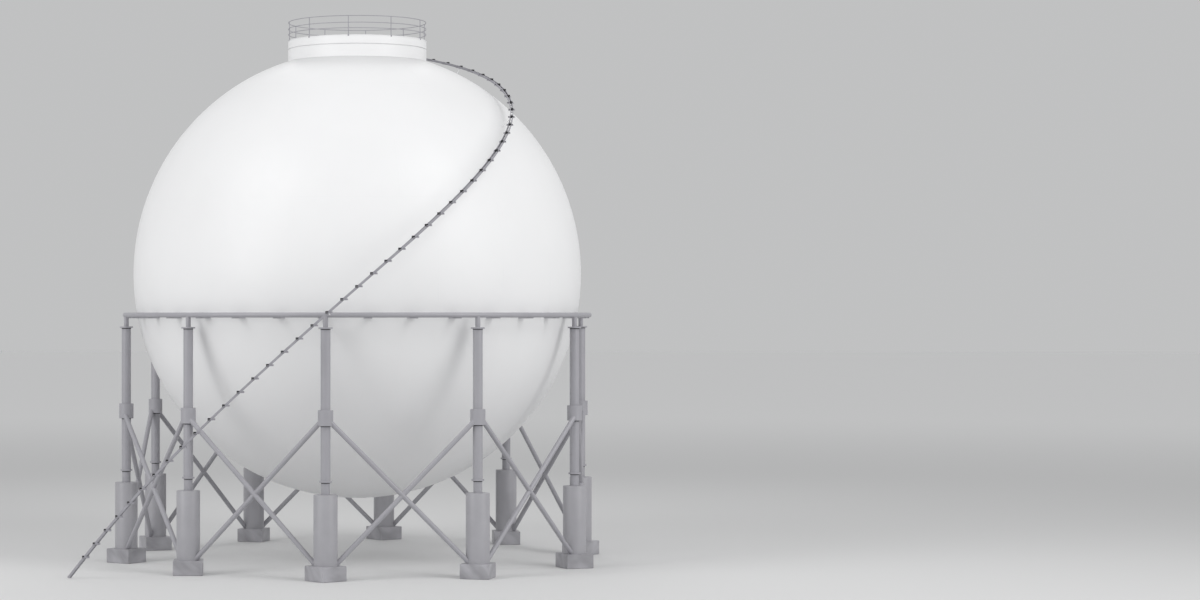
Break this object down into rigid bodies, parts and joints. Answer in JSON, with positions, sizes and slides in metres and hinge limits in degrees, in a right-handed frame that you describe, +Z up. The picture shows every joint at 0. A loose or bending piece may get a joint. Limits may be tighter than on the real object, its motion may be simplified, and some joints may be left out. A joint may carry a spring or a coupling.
{
  "type": "spherical gas tank",
  "caption": "White steel sphere tank on a ring of grey columns with crossed pipe braces, a ring girder, a winding stair and a railed top platform.",
  "frame": {"origin": "on the ground, under the middle of the whole outline", "axes": "+Z up; the front, which the picture sees, faces -Y; the stair starts at -X, -Y"},
  "size_m": [29.9964, 29.55, 31.213],
  "materials": {
    "white_paint": "satin white paint on welded steel plate",
    "grey_paint": "satin grey paint on steel",
    "painted_concrete": "grey paint on cast concrete, slightly rough"
  },
  "bodies": {
    "root": {"shell_bottom_crown": "white_paint", "shell_lower_zone": "white_paint", "shell_equator_zone": "white_paint", "shell_upper_zone": "white_paint", "shell_top_crown": "white_paint", "ring_girder": "grey_paint", "column_01": "grey_paint", "pier_01": "painted_concrete", "column_02": "grey_paint", "pier_02": "painted_concrete", "column_03": "grey_paint", "pier_03": "painted_concrete", "column_04": "grey_paint", "pier_04": "painted_concrete", "column_05": "grey_paint", "pier_05": "painted_concrete", "column_06": "grey_paint", "pier_06": "painted_concrete", "column_07": "grey_paint", "pier_07": "painted_concrete", "column_08": "grey_paint", "pier_08": "painted_concrete", "column_09": "grey_paint", "pier_09": "painted_concrete", "column_10": "grey_paint", "pier_10": "painted_concrete", "cross_brace_01": "grey_paint", "cross_brace_02": "grey_paint", "cross_brace_03": "grey_paint", "cross_brace_04": "grey_paint", "cross_brace_05": "grey_paint", "cross_brace_06": "grey_paint", "cross_brace_07": "grey_paint", "cross_brace_08": "grey_paint", "cross_brace_09": "grey_paint", "cross_brace_10": "grey_paint", "collar_skirt": "white_paint", "top_platform": "white_paint", "platform_railing": "grey_paint", "stair_flight_1": "grey_paint", "stair_flight_2": "grey_paint", "stair_flight_3": "grey_paint", "stair_flight_4": "grey_paint", "stair_flight_5": "grey_paint", "stair_flight_6": "grey_paint", "stair_landing": "grey_paint"}
  },
  "joints": []
}
